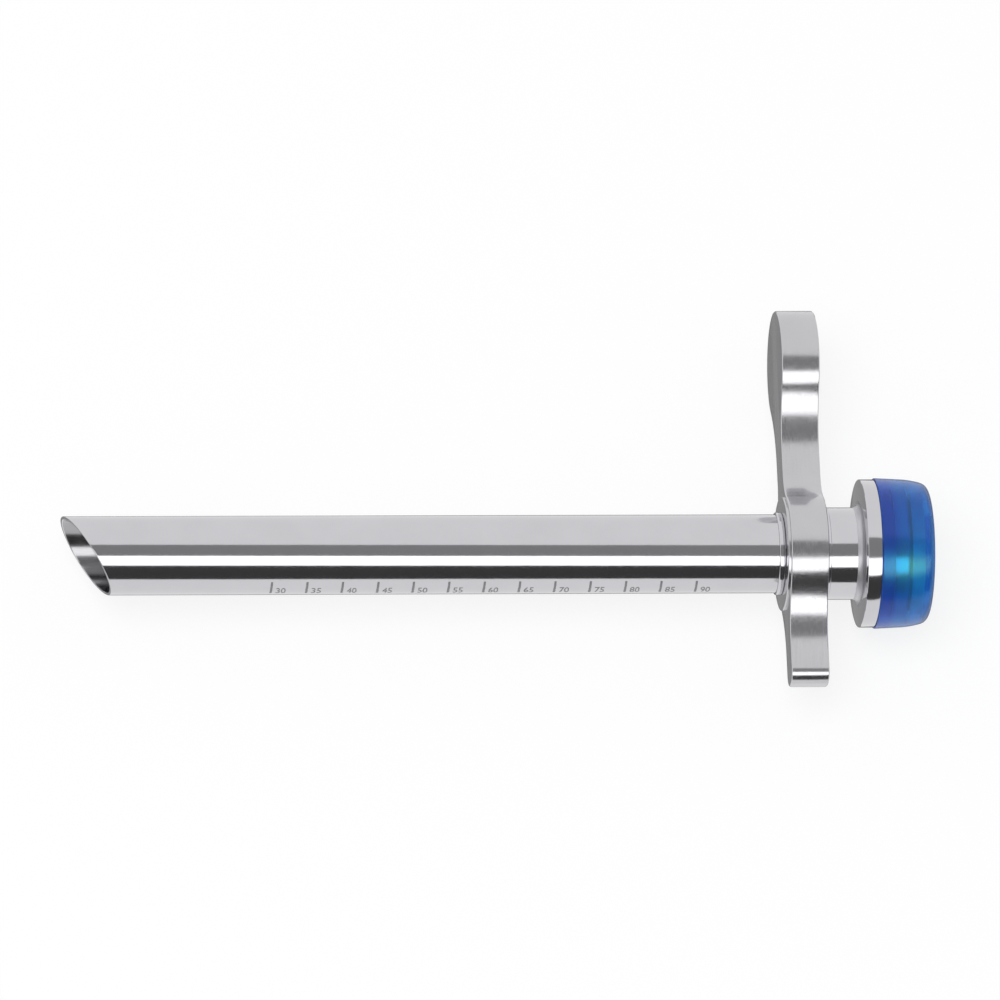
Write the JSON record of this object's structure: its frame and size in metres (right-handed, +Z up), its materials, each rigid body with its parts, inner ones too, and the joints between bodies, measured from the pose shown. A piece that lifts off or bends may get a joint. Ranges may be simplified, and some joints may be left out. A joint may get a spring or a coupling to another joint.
{
  "type": "endoscope cannula",
  "caption": "Bevelled steel endoscope cannula with a depth scale, an offset finger plate, a flanged neck and a soft pull-off sealing cap with a cross-slit valve.",
  "frame": {"origin": "on the bore axis, at the front face of the boss on the finger plate", "axes": "+X along the bore from the bevelled tip to the sealing cap, +Y towards the long lug of the finger plate, +Z up with the cannula lying on its side"},
  "size_m": [0.123, 0.0553, 0.0212],
  "materials": {
    "polished_steel": "mirror polished stainless steel",
    "satin_steel": "satin stainless steel",
    "blue_silicone": "translucent satin silicone",
    "clear_silicone": "milky satin silicone"
  },
  "bodies": {
    "cannula": {"shaft_tube": "polished_steel", "front_bead": "polished_steel", "finger_plate": "satin_steel", "rear_collar": "polished_steel", "hub_body": "polished_steel"},
    "cap": {"seal_cap": "blue_silicone", "scope_seal": "clear_silicone", "valve_disc": "clear_silicone"},
    "flap_right": {"leaflet_right": "clear_silicone"},
    "flap_top": {"leaflet_top": "clear_silicone"},
    "flap_left": {"leaflet_left": "clear_silicone"},
    "flap_bottom": {"leaflet_bottom": "clear_silicone"}
  },
  "joints": [
    {"name": "cap_pull", "type": "slide", "parent": "cannula", "child": "cap", "axis": [1, 0, 0], "range_m": [0, 0.012]},
    {"name": "right_flex", "type": "hinge", "parent": "cap", "child": "flap_right", "pos_m": [0.0175, 0.0056, 0], "axis": [0, 0, -1], "range_deg": [0, 90], "stiffness_Nm_per_rad": 0.0002},
    {"name": "top_flex", "type": "hinge", "parent": "cap", "child": "flap_top", "pos_m": [0.0175, 0, 0.0056], "axis": [0, 1, 0], "range_deg": [0, 90], "stiffness_Nm_per_rad": 0.0002},
    {"name": "left_flex", "type": "hinge", "parent": "cap", "child": "flap_left", "pos_m": [0.0175, -0.0056, 0], "axis": [0, 0, 1], "range_deg": [0, 90], "stiffness_Nm_per_rad": 0.0002},
    {"name": "bottom_flex", "type": "hinge", "parent": "cap", "child": "flap_bottom", "pos_m": [0.0175, 0, -0.0056], "axis": [0, -1, 0], "range_deg": [0, 90], "stiffness_Nm_per_rad": 0.0002}
  ]
}
